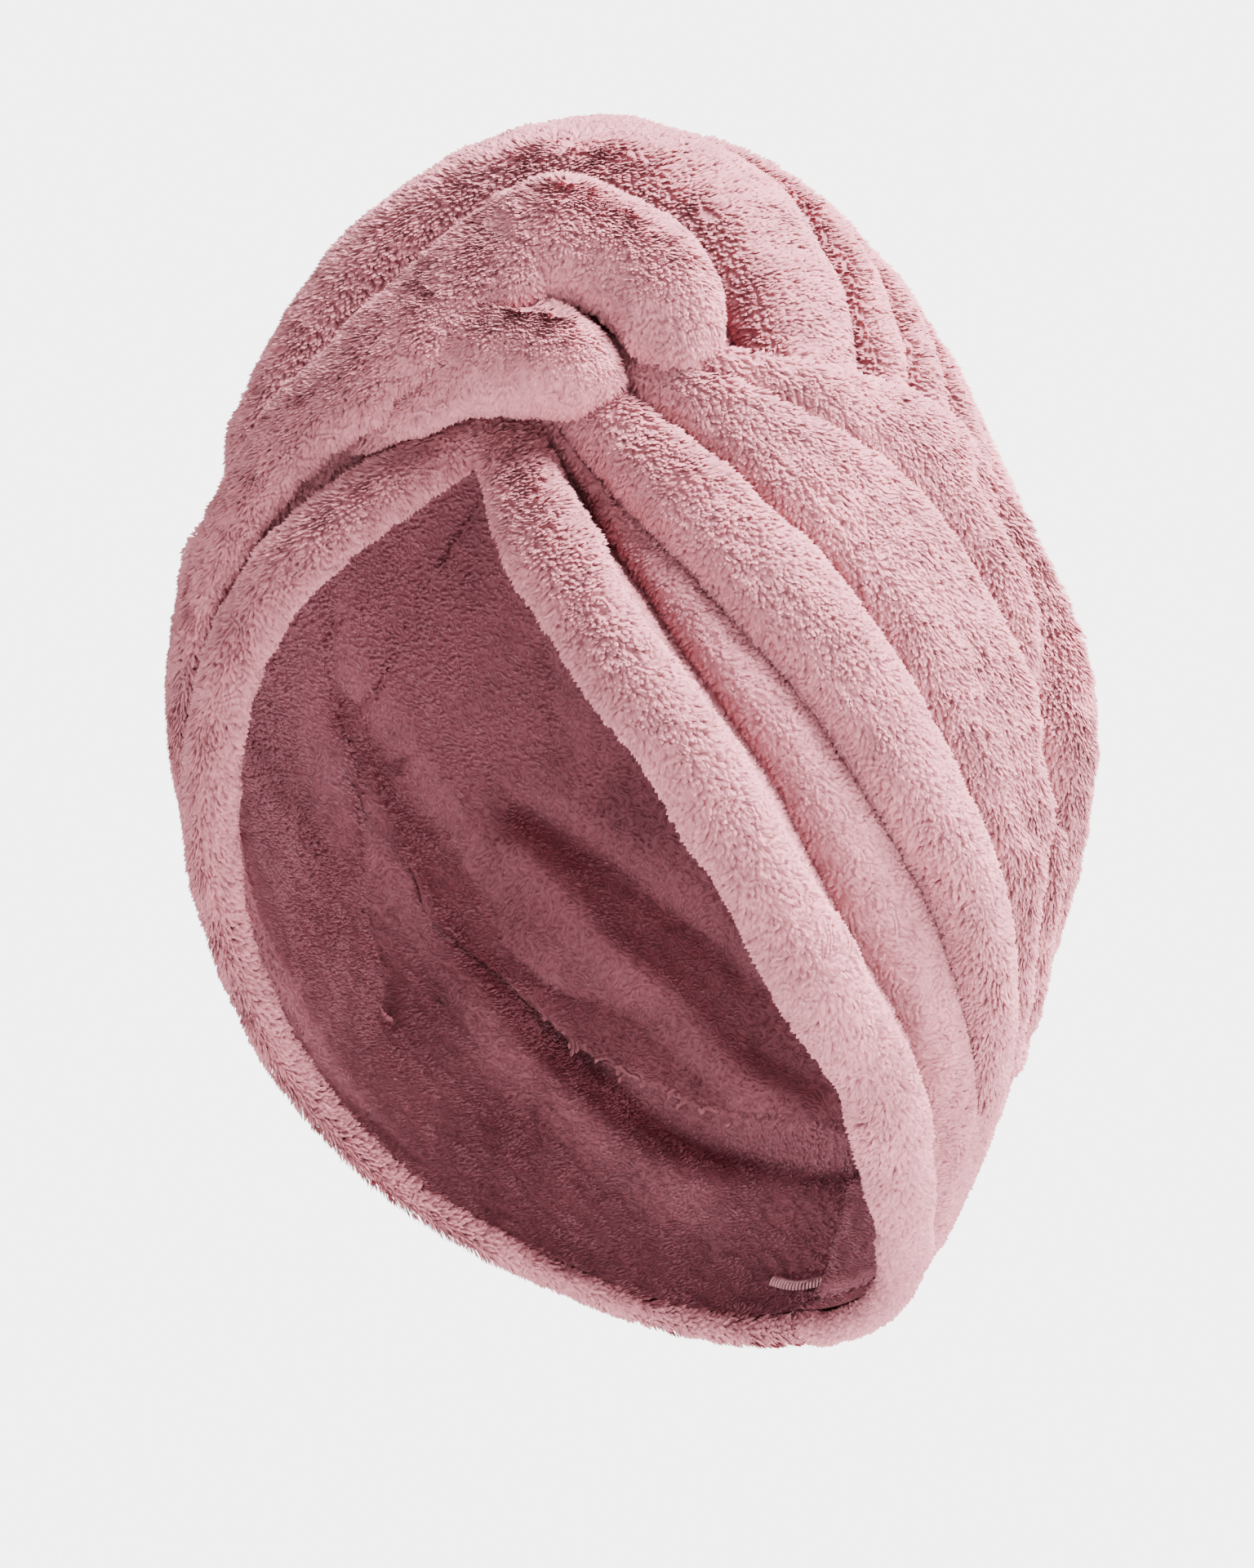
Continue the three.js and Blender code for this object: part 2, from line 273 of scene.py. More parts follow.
def locks(points, normal, nap, count, length, width, lean, seed, dense=1.0, tall=1.0, stray=0.1):
    """Deal out locks of pile over a grid, in millimetres.

    dense says how closely they stand and tall how long they are, for each point of the grid.
    A shorter lock also sits lower in the painted shade of the plush, so it is darker.
    Returns corners, faces, a normal, a height and a tone for each corner.
    """
    rng = np.random.default_rng(seed)
    a, b = points[:-1, :-1], points[1:, :-1]
    c, d = points[1:, 1:], points[:-1, 1:]
    area = np.linalg.norm(np.cross(c - a, d - b), axis=-1)
    area = area * np.broadcast_to(dense, points.shape[:2])[:-1, :-1]
    steps = np.cumsum(area.ravel())
    picks = (np.arange(count) + rng.random(count)) / count * steps[-1]
    cell = np.minimum(np.searchsorted(steps, picks), area.size - 1)
    i, j = np.unravel_index(cell, area.shape)
    s, t = rng.random((2, count, 1))

    def blend(field):
        first = field[i, j] * (1 - s) + field[i + 1, j] * s
        second = field[i, j + 1] * (1 - s) + field[i + 1, j + 1] * s
        return first * (1 - t) + second * t

    root, out, flow = blend(points), unit(blend(normal)), unit(blend(nap))
    # the share of full length also scales each corner's height in the pile, so short locks are painted
    # darker as shade
    growth_and_shade = blend(np.broadcast_to(tall, points.shape[:2])[..., None])
    side = np.cross(out, flow)
    swirl = np.stack([waves(root, SWIRL_SIZE, seed + k) for k in range(2)], -1)
    clump = np.stack([waves(root, CLUMP_SIZE, seed + 5 + k) for k in range(2)], -1)
    loose = rng.normal(size=(count, 2)) * stray
    tilt = lean + 0.1 * swirl[:, :1] + 0.16 * clump[:, :1] + loose[:, :1]
    turn = 0.25 * swirl[:, 1:] + 0.3 * clump[:, 1:] + loose[:, 1:]
    way = unit(out + flow * tilt + side * turn)
    long = length * growth_and_shade * rng.uniform(0.85, 1.12, (count, 1)) * (1 + 0.08 * swirl[:, :1])
    wide = width * rng.uniform(0.8, 1.2, (count, 1))
    across = unit(np.cross(way, out) + 1e-4 * side)
    up = np.cross(across, way)
    start = root - ROOT_SUNK * long * out
    belly = start + BELLY_AT * long * way - 0.35 * wide * up
    tip = start + long * unit(way + 0.2 * flow + 0.15 * side * turn)
    corners = np.stack([start, belly - across * wide / 2, belly + across * wide / 2, tip], 1)
    faces = 4 * np.arange(count)[:, None, None] + np.array([[0, 2, 3], [0, 3, 1]])
    ridge = up + 0.6 * out
    left, right = unit(ridge - ROUND * across), unit(ridge + ROUND * across)
    facing = np.stack([out, left, right, unit(ridge + 0.5 * way)], 1)
    height = np.stack([0 * growth_and_shade, BELLY_HIGH * growth_and_shade, BELLY_HIGH * growth_and_shade, growth_and_shade], 1).ravel()
    tone = np.repeat(rng.random(count), 4)
    return corners.reshape(-1, 3), faces.reshape(-1, 3), facing.reshape(-1, 3), height, tone


def sheet_faces(rows, columns, closed_rows=False):
    """Two triangles for every cell of a grid."""
    grid = np.arange(rows * columns).reshape(rows, columns)
    if closed_rows:
        grid = np.concatenate([grid, grid[:1]])
    a, b, c, d = grid[:-1, :-1], grid[1:, :-1], grid[1:, 1:], grid[:-1, 1:]
    return np.concatenate([np.stack([a, b, c], -1), np.stack([a, c, d], -1)]).reshape(-1, 3)


class Cloth:
    """Collects sheets and locks, in millimetres, and makes one mesh object of them.

    Red of the colour attribute says how high a vertex is in the pile, from which the plush
    paints its shade, and green its tone.
    """

    def __init__(self, name):
        self.name, self.total = name, 0
        self.points, self.faces, self.facing, self.height, self.tone = [], [], [], [], []

    def add(self, points, faces, facing, height, tone):
        self.points.append(points.reshape(-1, 3))
        self.faces.append(faces + self.total)
        self.facing.append(facing.reshape(-1, 3))
        self.height.append(height)
        self.tone.append(tone)
        self.total += points.size // 3

    def sheet(self, points, inward=False, centre=0.0, closed_rows=False):
        """Add a grid as backing cloth, which counts as half way up the pile in the painted shade."""
        faces = sheet_faces(points.shape[0], points.shape[1], closed_rows)
        normal = np.cross(np.gradient(points, axis=0), np.gradient(points, axis=1))
        outward = (normal * (points - centre)).sum() > 0
        count = points.size // 3
        if outward == inward:
            faces, normal = faces[:, ::-1], -normal
        self.add(points, faces, unit(normal), np.full(count, 0.5), np.full(count, 0.5))

    def finish(self, material, node):
        """Make the mesh object, in metres, and hide the measured part that it replaces."""
        points = np.concatenate(self.points) / 1000
        faces = np.concatenate(self.faces)
        mesh = bpy.data.meshes.new(self.name)
        mesh.vertices.add(len(points))
        mesh.vertices.foreach_set("co", points.ravel())
        mesh.loops.add(faces.size)
        mesh.loops.foreach_set("vertex_index", faces.ravel().astype(np.int32))
        mesh.polygons.add(len(faces))
        mesh.polygons.foreach_set("loop_start", np.arange(0, faces.size, 3, dtype=np.int32))
        mesh.polygons.foreach_set("loop_total", np.full(len(faces), 3, dtype=np.int32))
        mesh.update()
        mesh.validate()
        colour = mesh.color_attributes.new("pile", "FLOAT_COLOR", "POINT")
        values = np.ones((len(points), 4), np.float32)
        values[:, 0] = np.concatenate(self.height)
        values[:, 1] = np.concatenate(self.tone)
        colour.data.foreach_set("color", values.ravel())
        mesh.polygons.foreach_set("use_smooth", np.ones(len(mesh.polygons), bool))
        mesh.normals_split_custom_set_from_vertices(np.concatenate(self.facing))
        mesh.materials.append(material)
        piece = bpy.data.objects.new(self.name, mesh)
        bpy.context.scene.collection.objects.link(piece)
        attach(piece, "root")
        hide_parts(node)
        print(f"{self.name}: {len(faces)} triangles")


print("a patch of 3 by 4 points makes", len(sheet_faces(3, 4)), "triangles")

# %% [markdown]
# ## The side wraps
# On each side the cloth fans out from the knot in four folds. Between two folds lies a valley
# that the pile closes over, so it must be steep on both sides. A sine alone is too gentle: we
# raise it to a power below one, which makes it fuller, and we let the flanks lean over the
# valley. The cloth lies flat toward the nape and along its upper edge, where it laps the crown.

# %% Shape of the folds
FOLD_HIGH = 14.5
FOLD_SHARE = {1: 1.0, -1: 0.7}  # the folds of the far side, -1, are lower
FIRST_ROW, LAST_ROW, UNDER_HEM = -0.1, 10.12, -0.05  # a wrap goes on a little under its neighbours
GROOVE_DEEP, GROOVE_WIDE = 6.0, 3  # millimetres and degrees
LIP_HIGH, LIP_WIDE = 1.5, 7
# where a fold starts and ends across the wrap, beside the knot and beside the ear, and its height
FOLDS = [
    [0.12, 0.19, 0.06, 0.28, 0.4],
    [0.19, 0.57, 0.28, 0.46, 1],
    [0.57, 0.82, 0.46, 0.78, 0.85],
    [0.82, 1.12, 0.78, 1.15, 0.4],
]
# where the near wrap ends over the cloth behind it, as pitch and lean
BACK_VALLEY = [
    [83, 49], [92, 57], [100, 64], [110, 74], [120, 76], [150, 77], [177, 77], [201, 72], [212, 50]
]


def from_line(way, line):
    """The distance in degrees to a line of places given as pitch and lean."""
    path = curve(line, np.linspace(0, len(line) - 1, 10 * len(line)))
    path = direction(path[:, 0], path[:, 1])
    return np.degrees(np.arccos(np.clip((way @ path.T).max(-1), -1, 1)))


def folded(u, v):
    """How high the cloth of a wrap stands, how far it leans over its valley, and how deep the
    valleys are drawn in."""
    ear = np.clip((u - 1) / 4, 0, 1)
    strong = ease(-0.4, 1.1, u) * (1 - ease(4.6, 8.8, u))
    high, lean = np.zeros_like(v), np.zeros_like(v)
    for low_knot, top_knot, low_ear, top_ear, tall in FOLDS:
        low = low_knot + (low_ear - low_knot) * ear
        top = top_knot + (top_ear - top_knot) * ear
        t = np.clip((v - low) / (top - low), 0, 1)
        high += tall * np.sin(np.pi * t) ** 0.7
        lean -= (top - low) * np.sin(2 * np.pi * t) / (2 * np.pi)
    drawn = 0.7 * (1 - ease(0.6, 0.9, v)) * ease(-0.06, 0.1, v)
    return FOLD_HIGH * strong * (high - drawn), 0.75 * strong * lean, FOLD_HIGH * strong * drawn


def wrap_places(rows, columns):
    """A grid over a wrap: u from the knot to the nape, and v from the hem to the upper edge."""
    u, v = np.linspace(FIRST_ROW, LAST_ROW, rows), np.linspace(UNDER_HEM, 1, columns)
    return np.meshgrid(u, v, indexing="ij")


def wrap_sheet(side, rows, columns):
    """Points of the outer face of a side wrap, in millimetres, and how tall the pile is there,
    which also paints shade into the valleys.
    """
    u, v = wrap_places(rows, columns)
    high, lean, _ = folded(u, v)
    share = FOLD_SHARE[side]
    way = between(wrap_start(side, u), edge_way(side, u), np.minimum(v + lean * share, 1))
    radius = cloth_radius(way)
    spot = way * radius[..., None]
    soft = 0.5 * waves(spot, 26, 11) + 0.25 * waves(spot, 9, 12)
    # both edges dip: the lower one under the hem, and the upper one into the crown
    hem_side = CLOTH * (1 - ease(-0.06, 0.06, v)) * 0.7
    edge_side = (CLOTH + 1) * (1 - np.clip((1 - v) / 0.05, 0, 1)) ** 2
    if side > 0:
        valley = from_line(way, BACK_VALLEY)
        soft = soft - GROOVE_DEEP * bell(valley / GROOVE_WIDE) + LIP_HIGH * bell(valley / LIP_WIDE)
    points = way * (radius + high * share + soft - hem_side - edge_side)[..., None]
    # the pile is shorter in the valleys, and that also paints shade into them
    return points, 0.62 + 0.38 * ease(-0.45 * FOLD_HIGH, 0.1 * FOLD_HIGH, high * share)


u_test = np.full(5, 2.0)
print("height across the wrap at u = 2:", folded(u_test, np.linspace(0, 1, 5))[0].round(1), "mm")

# %% [markdown]
# ## What the folds do inside
# Seen through the opening, the far wall shows long soft ridges where the folds outside press
# in, and a few creases between them. Each is a line of places on the wall with a bell across
# it. Besides them the wall only has slow waves, and it gives way where a valley is drawn in.

# %% Ridges and creases of the inner wall
# how far it comes in (creases go out), how wide in degrees, and its places as pitch and lean
INNER_LINES = [
    [-2.5, 1.8, [[85, -48], [97, -59], [126, -70], [168, -76], [230, -72]]],
    [2.5, 4.5, [[78, -54], [97, -67], [135, -78]]],
    [-3.5, 2.8, [
        [98, -58], [130, -59], [157, -55], [180, -50], [193, -43], [201, -32], [207, -21], [209, 2]
    ]],
    [4.5, 4.5, [
        [95, -63], [140, -68], [179, -63], [201, -53], [210, -41], [215, -28], [216, -17]
    ]],
    [-3.5, 2.8, [[150, -44], [155, -40], [168, -29], [180, -17], [193, -5]]],
    [4.5, 3.8, [[156, -47], [177, -36], [186, -26], [197, -16], [204, -4]]],
    [-2.0, 1.2, [[128, -32], [134, -34], [142, -36]]],
]


def inner_relief(way):
    total = 0.6 * waves(way * 120, 40, 61)
    for depth, wide, line in INNER_LINES:
        total = total - depth * bell(from_line(way, line) / wide)
    return total


def wrap_inside(side, rows, columns):
    u, v = wrap_places(rows, columns)
    way = between(wrap_start(side, u), edge_way(side, u), v)
    inward = np.maximum(folded(u, v)[2] * FOLD_SHARE[side] - 3, 0)
    return way * (cloth_radius(way) - CLOTH - BACKING - inward + inner_relief(way))[..., None]


print("lines on the inner wall:", len(INNER_LINES))

# %% [markdown]
# ## Plush
# Plush looks light where we see the tips of its locks and dark where we look down between them.
# Each vertex already says how high it sits in the pile, and that shade is painted into the colour
# from it: a deep rose at the backing and a pale pink at the tips. The tips of a real pile also
# glow a little at a grazing angle, and *sheen* gives that. Slow noise makes patches, because a
# towel is brushed unevenly, and every lock gets a tone of its own. Bands finer than a lock stand
# for its threads: they raise a bump, and they shift the colour a little along the painted shade,
# lighter on a thread and darker between.

# %% A plush material
BANDS_PER_WAVE = 50


def plush(name, root, middle, tip, sheen=0.15, bands=150, relief=0.45):
    """A pile with its colours from the root to the tip, the root darker as painted shade; bands
    is how fine its threads are.
    """
    made = bpy.data.materials.new(name)
    made.use_nodes = True
    nodes, links = made.node_tree.nodes, made.node_tree.links
    shader = nodes["Principled BSDF"]
    shader.inputs["Roughness"].default_value = 0.92
    shader.inputs["Specular IOR Level"].default_value = 0.15
    shader.inputs["Sheen Weight"].default_value = sheen
    shader.inputs["Sheen Roughness"].default_value = 0.45
    shader.inputs["Sheen Tint"].default_value = (1.0, 0.6, 0.64, 1)
    pile = nodes.new("ShaderNodeAttribute")
    pile.attribute_name = "pile"
    parts = nodes.new("ShaderNodeSeparateColor")
    links.new(pile.outputs["Color"], parts.inputs["Color"])
    # painted shade: the colour darkens from the tip to the root, where the locks shade each other
    ramp = nodes.new("ShaderNodeValToRGB")
    ramp.color_ramp.elements[0].color = (*root, 1)
    ramp.color_ramp.elements[1].color = (*tip, 1)
    ramp.color_ramp.elements.new(0.5).color = (*middle, 1)
    place = nodes.new("ShaderNodeTexCoord")
    patch = nodes.new("ShaderNodeTexNoise")
    patch.inputs["Scale"].default_value = 45
    patch.inputs["Detail"].default_value = 3
    links.new(place.outputs["Object"], patch.inputs["Vector"])
    both = nodes.new("ShaderNodeMath")
    both.operation = "MULTIPLY_ADD"
    both.inputs[1].default_value = 0.3
    links.new(parts.outputs["Green"], both.inputs[0])
    links.new(patch.outputs["Fac"], both.inputs[2])
    spread = nodes.new("ShaderNodeMapRange")
    spread.inputs["From Min"].default_value = 0.35
    spread.inputs["From Max"].default_value = 0.95
    spread.inputs["To Min"].default_value = 0.72
    spread.inputs["To Max"].default_value = 1.08
    links.new(both.outputs[0], spread.inputs["Value"])
    shade = nodes.new("ShaderNodeHueSaturation")
    links.new(ramp.outputs["Color"], shade.inputs["Color"])
    links.new(spread.outputs["Result"], shade.inputs["Value"])
    links.new(shade.outputs["Color"], shader.inputs["Base Color"])
    # contour lines of a smooth noise make bands about a millimetre wide that run side by side
    warp = nodes.new("ShaderNodeTexNoise")
    warp.inputs["Scale"].default_value = bands
    warp.inputs["Detail"].default_value = 1
    links.new(place.outputs["Object"], warp.inputs["Vector"])
    phase = nodes.new("ShaderNodeMath")
    phase.operation = "MULTIPLY"
    phase.inputs[1].default_value = BANDS_PER_WAVE
    links.new(warp.outputs["Fac"], phase.inputs[0])
    band = nodes.new("ShaderNodeMath")
    band.operation = "SINE"
    links.new(phase.outputs[0], band.inputs[0])
    # the bands move the colour along the painted shade of the ramp, lighter on a thread and darker
    # between
    share = nodes.new("ShaderNodeMath")
    share.operation = "MULTIPLY_ADD"
    share.inputs[1].default_value = 0.16
    links.new(band.outputs[0], share.inputs[0])
    links.new(parts.outputs["Red"], share.inputs[2])
    links.new(share.outputs[0], ramp.inputs["Fac"])
    bump = nodes.new("ShaderNodeBump")
    bump.inputs["Strength"].default_value = relief
    bump.inputs["Distance"].default_value = 0.0005
    links.new(band.outputs[0], bump.inputs["Height"])
    links.new(bump.outputs["Normal"], shader.inputs["Normal"])
    return made


# colours at the root, the middle and the tip; the darker root and middle are painted shade between the
# locks
OUTER_COLOURS = (0.54, 0.19, 0.23), (0.64, 0.23, 0.27), (0.83, 0.31, 0.36)
# the inside is the same cloth as the outside, painted darker as shade
SHADED_INNER_COLOURS = (0.34, 0.10, 0.13), (0.47, 0.16, 0.20), (0.58, 0.23, 0.28)
THREAD_COLOURS = (0.8, 0.38, 0.42), (0.8, 0.38, 0.42), (0.85, 0.42, 0.46)
outside = plush("outer_plush", *OUTER_COLOURS, sheen=0.08)
# the inner plush is the outer cloth painted darker as shade
inside = plush("inner_plush_shaded", *SHADED_INNER_COLOURS, sheen=0.06, bands=230, relief=0.2)
inside_thread = plush("thread", *THREAD_COLOURS)
print("materials:", outside.name, "and", inside.name)

# %% [markdown]
# ## The near wrap and the far wrap
# The near wrap is the cloth that the camera sees best, so it gets more locks than the far one.
# The nap runs away from the knot toward the nape, and beside the hem it turns away from the
# rim. It also falls off every ridge into the valleys. Where locks lean toward us on a ridge we
# see their undersides, which are dark and red, and brushing them off the ridges avoids that.

# %% Near wrap and far wrap
OFF_RIDGES = 2.2


def nap_along(points, normal, along, drop=0.4, spread=OFF_RIDGES):
    """The way the pile is brushed: along the cloth, down under its weight, and off every ridge."""
    fall = np.zeros_like(normal)
    fall[..., 2] = -drop
    flow = along + fall - spread * unit(points)
    return unit(flow - (flow * normal).sum(-1, keepdims=True) * normal)


def side_wrap(name, side, node, count, seed):
    rows, columns = 420, 150
    piece = Cloth(name)
    outer, tall = wrap_sheet(side, rows, columns)
    piece.sheet(outer[::3, ::2])
    normal, down, over = grid_frame(outer)
    u, v = wrap_places(rows, columns)
    near_hem = 1 - ease(0.0, 0.3, v)[..., None]
    off_ridges = OFF_RIDGES * (1 - ease(6, 9, u))[..., None]
    nap = nap_along(outer, normal, 0.6 * down + 1.6 * near_hem * over, 0.0, off_ridges)
    piece.add(*locks(outer, normal, nap, count, *LONG_LOCK, seed, tall=tall))
    piece.finish(outside, node)


side_wrap("near_wrap_plush", 1, "near_wrap", 70000, 1)
side_wrap("far_wrap_plush", -1, "far_wrap", 40000, 2)

# %% [markdown]
# ## The crown
# Over the top the cloth is gathered in ribs that run across the head. They are narrow where
# they slip under the near wrap, and they fan out toward the far side and the back. Each row of
# the table is one valley, given at three places: the near edge, the middle and the far edge.

# %% Crown ribs
RIB_HIGH = 12.0
# millimetres that the crown lies under the wraps, that its valleys are cut in, and that the
# smooth back is filled out
TUCKED, VALLEY_DEEP, BACK_FULL = 5.6, 3.6, 2.0
ROWS_PER_RIB = 48
# pitch and lean at the near edge, in the middle and at the far edge, then the rib's height
RIBS = [
    [46, 27, 50, 8, 30, -22, 0.1],
    [51, 33, 66, 8, 40, -30, 1],
    [58, 41, 83, 7, 46, -42, 0.95],
    [67, 45, 90, 6, 56, -54, 0.85],
    [77, 49, 98, 5, 76, -62, 0.75],
    [91, 54, 106, 3, 102, -67, 0.6],
    [112, 63, 120, 1, 130, -69, 0.4],
    [140, 69, 142, 0, 153, -67, 0.2],
    [172, 65, 172, 0, 175, -64, 0.1],
    [198, 40, 205, 0, 198, -40, 0],
]
LAST_RIB = len(RIBS) - 1
RIB_TALL = np.array(RIBS)[:, 6]


def crown_sheet(rows, columns, first=0.0, last=9.0):
    """Points of the crown's outer face and their directions, how far it is in the open, and how
    tall the pile is, which also paints shade into the valleys. The place counts ribs, and q goes
    from -1 at the far edge to 1 at the near."""
    place, q = np.linspace(first, last, rows), np.linspace(-1, 1, columns)
    place, q = np.meshgrid(place, q, indexing="ij")
    show = (1 - ease(0.88, 0.99, q)) * (1 - ease(0.82, 0.95, -q)) * (1 - ease(8.1, 8.7, place))
    t = place - np.floor(place)
    tall = RIB_TALL[np.minimum(np.floor(place).astype(int), LAST_RIB - 1)]
    lean = -np.sin(2 * np.pi * t) / (2 * np.pi) * show * 0.7 * np.clip(tall * 1.5, 0, 1)
    r = curve(RIBS, np.clip(place + lean, 0, LAST_RIB))
    near, middle, far = [direction(r[..., k], r[..., k + 1]) for k in (0, 2, 4)]
    k = q[..., None]
    way = unit(near * k * (k + 1) / 2 + middle * (1 - k * k) + far * k * (k - 1) / 2)
    high = tall * np.sin(np.pi * t) ** 0.7
    spot = way * cloth_radius(way)[..., None]
    soft = (0.5 * waves(spot, 30, 21) + 0.25 * waves(spot, 10, 22)) * show
    blended = np.interp(place, np.arange(LAST_RIB) + 0.5, RIB_TALL[:LAST_RIB])
    smooth = ease(0.6, 0.2, blended) * ease(3, 4, place)
    base = cloth_radius(way) - TUCKED - VALLEY_DEEP * show * (1 - smooth)
    base = base + BACK_FULL * show * smooth
    points = way * (base + RIB_HIGH * show * high + soft)[..., None]
    # shorter pile in the valleys between the ribs, which also paints shade there
    return points, way, show, 0.62 + 0.38 * ease(0.05, 0.45, high + smooth)


def crown_piece(name, first, last, count, seed):
    piece = Cloth(name)
    outer, _, show, tall = crown_sheet(int(ROWS_PER_RIB * (last - first)) + 1, 200, first, last)
    piece.sheet(outer[::2, ::2])
    normal, down, over = grid_frame(outer)
    nap = nap_along(outer, normal, down - 0.3 * over, 0.2)
    dense = 0.1 + 0.9 * show
    piece.add(*locks(outer, normal, nap, count, *LONG_LOCK, seed, dense=dense, tall=tall))
    piece.finish(outside, "crown")


crown_piece("crown_front_plush", 0.5, 5.0, 70000, 3)
crown_piece("crown_back_plush", 5.0, 9.0, 40000, 4)

# %% [markdown]
# ## The roll over the brow
# The far wrap crosses the brow as a thick roll and ends in two lobes at the left temple. We
# sweep two soft tubes along the same path. On the far side they lie inside each other and read
# as one roll, and toward the near end they part, so that a dark crease opens between them.

# %% Two lobes
TIP_LONG, TAIL_LONG = 10, 14  # millimetres over which a lobe is rounded off and fades out
LOBE_SUNK = 1.5
THINNEST = 0.0005  # keeps the two ends of a lobe from shrinking to a point
# pitch and lean of the middle line, half the width in millimetres, and the height
UPPER_LOBE = [
    [49.2, 24.6, 9, 18],
    [51.4, 22.6, 11, 23],
    [53.2, 19.6, 12.5, 26],
    [53.9, 15.8, 14, 27],
    [53.5, 12, 15, 27],
    [52.3, 8.8, 16, 26],
    [49.6, 6.1, 17, 24.5],
    [46.2, 2.2, 17, 22.5],
    [42.8, -2.3, 15.5, 19],
    [40.8, -6.0, 13, 16.5],
    [39.1, -9.1, 12, 14.5],
    [35.9, -13.1, 11, 12],
    [32.2, -17.9, 10, 10],
    [28.7, -24.3, 9, 8],
    [23, -34, 8, 6.5],
    [14, -46, 8, 5],
    [3, -56, 7, 3.5],
]
LOWER_LOBE = [
    [45.2, 19.4, 6.5, 15],
    [44.8, 17.3, 8.5, 19],
    [44.4, 14.9, 10, 21.5],
    [44.6, 11.9, 11.5, 22.5],
    [44.6, 9.0, 12.5, 22.5],
    [44.0, 5.7, 13, 20.5],
    [42.6, 2.2, 13, 17],
    [40.2, -1.8, 12, 12.5],
    [37.6, -5.0, 10, 8],
]


def ring_round(middle, way, across, wide, tall, ring, uneven, seed):
    """A soft tube: an oval ring of points round every place of a middle line, in which uneven
    gives the strength and size of slow and fine waves. Returns points and middle line."""
    turn = np.linspace(0, 2 * np.pi, ring)
    out = across[:, None] * wide[:, None, None] * np.cos(turn)[:, None]
    out = out + way[:, None] * tall[:, None, None] * np.sin(turn)[:, None]
    points = middle[:, None] + out
    (slow, slow_size), (fine, fine_size) = uneven
    swell = 1 + slow * waves(points, slow_size, seed) + fine * waves(points, fine_size, seed + 1)
    return middle[:, None] + out * swell[..., None], middle[:, None]


def swept(table, rows, ring, seed):
    """A tube along a line of places, with a rounded first end. Returns points and middle line."""
    path = curve(table, np.linspace(0, len(table) - 1, rows))
    way = direction(path[:, 0], path[:, 1])
    wide, tall = path[:, 2], path[:, 3]
    floor = cloth_radius(way) - LOBE_SUNK
    line = way * floor[:, None]
    run = np.concatenate([[0], np.cumsum(np.linalg.norm(np.diff(line, axis=0), axis=1))])
    tip = np.sqrt(np.clip(1 - (1 - np.clip(run / TIP_LONG, 0, 1)) ** 2, THINNEST, 1))
    tail = np.sqrt(np.clip((run[-1] - run) / TAIL_LONG, THINNEST, 1))
    along = unit(np.gradient(line, axis=0))
    across = unit(np.cross(along, way))
    middle = way * (floor + tall / 2)[:, None]
    half_wide, half_tall = wide * tip * tail, 0.5 * tall * tip * tail
    uneven = (0.06, 30), (0.02, 9)
    return ring_round(middle, way, across, half_wide, half_tall, ring, uneven, seed)


def tube_frame(points, middle):
    """Normals of a tube that point away from its middle line, and the direction along it."""
    normal, down, _ = grid_frame(points)
    sign = np.sign((normal * (points - middle)).sum(-1).mean())
    return normal * sign, down


roll = Cloth("brow_roll_plush")
for table, count, seed in [(UPPER_LOBE, 30000, 31), (LOWER_LOBE, 15000, 36)]:
    points, middle = swept(table, 260, 56, seed)
    roll.sheet(points[::2, ::2], centre=middle[::2])
    normal, down = tube_frame(points, middle)
    seen = ease(-0.75, -0.2, (normal * unit(middle)).sum(-1))
    nap = nap_along(points, normal, 0.5 * down)
    roll.add(*locks(points, normal, nap, count, *ROLL_LOCK, seed, dense=0.05 + 0.95 * seen))
roll.finish(outside, "far_wrap")

# %% [markdown]
# ## The rim
# The edge of the opening is rolled over once. It is thick beside the left temple and thins to
# little more than the cloth at the nape. A tube swept along the rim does it, with a slow
# unevenness, since nothing sewn in plush has a perfectly even edge.

# %% Rolled hem
HEM_ROWS = 640


def hem_tube(rows=HEM_ROWS, ring=40):
    """A tube round the rim, from the knot along the near side to the nape and back."""
    half_loop = np.linspace(0, 10, rows // 2 + 1)
    u = np.concatenate([half_loop, half_loop[-2:0:-1]])
    side = np.concatenate([np.ones(rows // 2 + 1), -np.ones(rows // 2 - 1)])
    way = np.where((side > 0)[:, None], rim_way(1, u), rim_way(-1, u))
    half = np.where(side > 0, rim_half(1, u), rim_half(-1, u)) - 0.4 * PILE
    along = unit(np.roll(way, -1, 0) - np.roll(way, 1, 0))
    across = np.cross(along, way)
    thick = np.maximum(0.8 * half, 0.65 * CLOTH)
    middle = way * (cloth_radius(way) + 0.5 * PILE - 0.5 * CLOTH)[:, None]
    return ring_round(middle, way, across, half, thick, ring, ((0.07, 34), (0.03, 9)), 51)


hem = Cloth("rim_hem_plush")
points, middle = hem_tube()
hem.sheet(points[::2, ::2], centre=middle[::2], closed_rows=True)
closed, closed_middle = np.concatenate([points, points[:1]]), np.concatenate([middle, middle[:1]])
normal, down = tube_frame(closed, closed_middle)
row, nape_row = np.arange(len(closed))[:, None, None], HEM_ROWS // 2
toward_nape = np.where(row <= nape_row, down, -down)
nape = 1 - np.abs(row - nape_row) / nape_row  # 0 at the knot and 1 at the nape
nap = nap_along(closed, normal, 0.5 * toward_nape, 0.0, OFF_RIDGES * (1 - ease(0.5, 0.8, nape)))
hem.add(*locks(closed, normal, nap, 45000, *ROLL_LOCK, 60))
hem.finish(outside, "rim_hem")

# %% [markdown]
# ## The inside
# Inside, the pile is painted darker than outside, as shade, and broad soft ridges run from the
# crown down to the nape where the folds press in. The locks are narrow and short here. The
# crown's inner face also keeps a small distance to its outer face, or the outer locks would show
# through it in the valleys.

